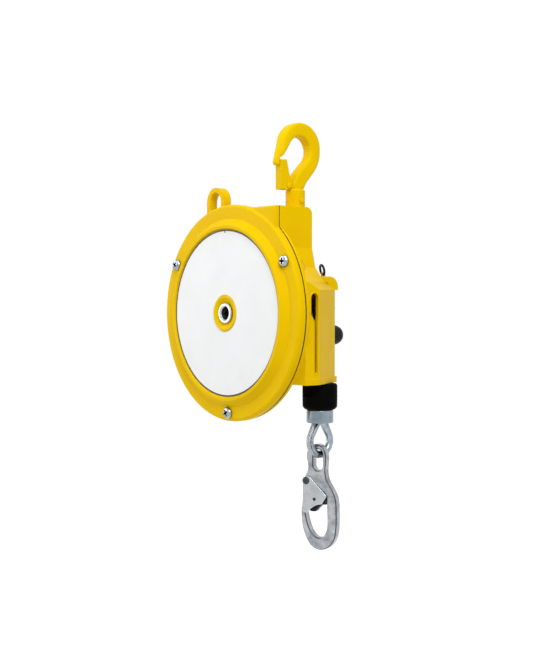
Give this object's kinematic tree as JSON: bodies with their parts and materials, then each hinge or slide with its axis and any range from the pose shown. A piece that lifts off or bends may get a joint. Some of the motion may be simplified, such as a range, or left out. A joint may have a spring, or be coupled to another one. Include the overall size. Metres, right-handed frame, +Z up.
{
  "type": "spring balancer",
  "caption": "Spring tool balancer: yellow cast drum housing with a swivel hook on top and a wire rope that ends in a locking snap hook.",
  "frame": {"origin": "where the inside of the top hook rests on what carries it", "axes": "+Z up along the hanging direction, drum axis along Y with the label facing -Y, rope on the +X side"},
  "size_m": [0.1864, 0.0975, 0.36],
  "materials": {
    "yellow_paint": "semi gloss enamel on castings and forgings",
    "white_label": "satin printed plate",
    "zinc": "bright zinc plate",
    "steel": "ground",
    "spring_steel": "blued strip",
    "black_steel": "black oxide",
    "bronze": "machined",
    "cast_aluminium": "as cast",
    "wire_rope": "galvanised strand",
    "black_rubber": "moulded",
    "black_plastic": "moulded"
  },
  "bodies": {
    "housing": {"rear_housing": "yellow_paint", "front_cover": "yellow_paint", "nameplate": "white_label", "cover_screws": "zinc", "gear_case_lid": "yellow_paint", "lid_screws": "black_steel", "rope_lead": "wire_rope", "rope_run": "wire_rope", "exit_bush": "black_plastic", "hook_retainer": "yellow_paint"},
    "drum": {"drum": "cast_aluminium", "drum_lid": "cast_aluminium", "drum_bushes": "bronze", "mainspring": "spring_steel", "rope_on_drum": "wire_rope", "rope_anchor": "steel"},
    "arbor": {"arbor": "steel", "worm_wheel": "bronze"},
    "worm": {"worm_shaft": "steel"},
    "lock_pin": {"adjuster_lock_pin": "steel"},
    "pull_ring": {"pull_ring": "black_steel"},
    "stop_knob": {"stop_knob": "black_plastic", "stop_pin": "steel"},
    "top_hook": {"top_hook": "yellow_paint", "latch_pin": "yellow_paint"},
    "latch": {"hook_latch": "yellow_paint"},
    "rope_end": {"rubber_bumper": "black_rubber", "rope_sleeve": "zinc", "rope_ferrule": "cast_aluminium", "rope_loop": "wire_rope", "thimble": "zinc"},
    "snap_hook": {"snap_hook": "zinc", "gate_pin": "steel"},
    "snap_gate": {"snap_gate": "zinc", "lever_pin": "steel"},
    "lock_lever": {"lock_lever": "black_steel"}
  },
  "joints": [
    {"name": "hook_swivel", "type": "hinge", "parent": "housing", "child": "top_hook", "pos_m": [0, -0.0013, -0.0428], "axis": [0, 0, 1], "continuous": true},
    {"name": "latch_swing", "type": "hinge", "parent": "top_hook", "child": "latch", "pos_m": [0, -0.011, -0.0416], "axis": [-1, 0, 0], "range_deg": [0, 28], "stiffness_Nm_per_rad": 0.02, "springref_deg": -17.19},
    {"name": "drum_spin", "type": "hinge", "parent": "housing", "child": "drum", "pos_m": [-0.05, -0.004, -0.1488], "axis": [0, 1, 0], "range_deg": [0, 1080], "stiffness_Nm_per_rad": 0.12, "springref_deg": -343.77},
    {"name": "rope_pull", "type": "slide", "parent": "housing", "child": "rope_end", "axis": [0, 0, -1], "range_m": [0, 1.3], "deforming": ["rope_run"]},
    {"name": "spring_adjust", "type": "hinge", "parent": "housing", "child": "arbor", "pos_m": [-0.05, 0.0435, -0.1488], "axis": [0, 1, 0], "range_deg": [0, 720]},
    {"name": "worm_turn", "type": "hinge", "parent": "housing", "child": "worm", "pos_m": [-0.05, 0.0435, -0.1248], "axis": [1, 0, 0], "range_deg": [-27360, 0]},
    {"name": "lock_pin_lift", "type": "slide", "parent": "housing", "child": "lock_pin", "axis": [0, 0, 1], "range_m": [0, 0.004], "stiffness_N_per_m": 200, "springref_m": -0.002},
    {"name": "ring_swing", "type": "hinge", "parent": "lock_pin", "child": "pull_ring", "pos_m": [-0.014, 0.0435, -0.1154], "axis": [0.9397, -0.342, 0], "range_deg": [-60, 60]},
    {"name": "drum_stop_push", "type": "slide", "parent": "housing", "child": "stop_knob", "axis": [0, -1, 0], "range_m": [0, 0.0035]},
    {"name": "snap_swing", "type": "hinge", "parent": "rope_end", "child": "snap_hook", "pos_m": [0.01791, 0.01066, -0.2677], "axis": [0.3584, -0.9336, 0], "range_deg": [-40, 40]},
    {"name": "gate_swing", "type": "hinge", "parent": "snap_hook", "child": "snap_gate", "pos_m": [0.00838, 0.00701, -0.2899], "axis": [0.3584, -0.9336, 0], "range_deg": [0, 18], "stiffness_Nm_per_rad": 0.03, "springref_deg": -17.19},
    {"name": "lever_press", "type": "hinge", "parent": "snap_gate", "child": "lock_lever", "pos_m": [0.01567, 0.0098, -0.3053], "axis": [0.3584, -0.9336, 0], "range_deg": [-54, 0]}
  ],
  "couplings": [
    {"joint": "rope_pull", "follows": "drum_spin", "m_per_rad": 0.0689},
    {"joint": "worm_turn", "follows": "spring_adjust", "ratio": -38},
    {"joint": "lever_press", "follows": "gate_swing", "ratio": -3}
  ]
}
